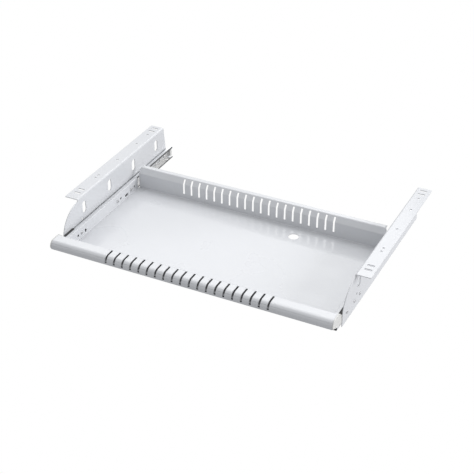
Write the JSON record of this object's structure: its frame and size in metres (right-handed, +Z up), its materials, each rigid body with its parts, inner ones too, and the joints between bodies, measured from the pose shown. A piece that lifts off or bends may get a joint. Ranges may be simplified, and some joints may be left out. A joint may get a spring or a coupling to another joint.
{
  "type": "under desk drawer",
  "caption": "Shallow pressed-steel tray drawer on ball slides, hung under a desk top from two flanged brackets.",
  "frame": {"origin": "centre of the four outer desk slots, in the plane where the bracket flanges meet the desk", "axes": "+Z up to the desk, -Y out of the front of the drawer, +X to the right seen from the front"},
  "size_m": [0.672, 0.4826, 0.082],
  "materials": {
    "powder_coat": "fine satin powder coat",
    "zinc_steel": "bright zinc plate",
    "rivet_steel": "zinc plate",
    "screw_steel": "zinc plate",
    "cage_steel": "stamped zinc plate",
    "ball_steel": "polished, lightly greased",
    "white_plastic": "fine moulded grain",
    "lever_plastic": "moulded",
    "buffer_rubber": "moulded"
  },
  "bodies": {
    "brackets": {"left_bracket": "powder_coat", "left_outer_rail": "zinc_steel", "left_rail_rivets": "rivet_steel", "left_front_buffer": "buffer_rubber", "left_rear_stop": "white_plastic", "right_bracket": "powder_coat", "right_outer_rail": "zinc_steel", "right_rail_rivets": "rivet_steel", "right_front_buffer": "buffer_rubber", "right_rear_stop": "white_plastic"},
    "tray": {"tray_pan": "powder_coat", "left_end_cap": "white_plastic", "left_inner_rail": "zinc_steel", "left_tray_screws": "screw_steel", "left_lever_pin": "rivet_steel", "right_end_cap": "white_plastic", "right_inner_rail": "zinc_steel", "right_tray_screws": "screw_steel", "right_lever_pin": "rivet_steel"},
    "left_cage": {"left_ball_cage": "cage_steel", "left_balls": "ball_steel"},
    "right_cage": {"right_ball_cage": "cage_steel", "right_balls": "ball_steel"},
    "left_lever": {"left_release_lever": "lever_plastic"},
    "right_lever": {"right_release_lever": "lever_plastic"}
  },
  "joints": [
    {"name": "drawer_slide", "type": "slide", "parent": "brackets", "child": "tray", "axis": [0, -1, 0], "range_m": [0, 0.22]},
    {"name": "left_cage_slide", "type": "slide", "parent": "brackets", "child": "left_cage", "axis": [0, -1, 0], "range_m": [0, 0.11]},
    {"name": "right_cage_slide", "type": "slide", "parent": "brackets", "child": "right_cage", "axis": [0, -1, 0], "range_m": [0, 0.11]},
    {"name": "left_lever_turn", "type": "hinge", "parent": "tray", "child": "left_lever", "pos_m": [-0.29445, -0.1705, -0.068], "axis": [1, 0, 0], "range_deg": [0, 16], "stiffness_Nm_per_rad": 0.02},
    {"name": "right_lever_turn", "type": "hinge", "parent": "tray", "child": "right_lever", "pos_m": [0.29445, -0.1705, -0.068], "axis": [1, 0, 0], "range_deg": [0, 16], "stiffness_Nm_per_rad": 0.02}
  ],
  "couplings": [
    {"joint": "left_cage_slide", "follows": "drawer_slide", "ratio": 0.5},
    {"joint": "right_cage_slide", "follows": "drawer_slide", "ratio": 0.5}
  ]
}
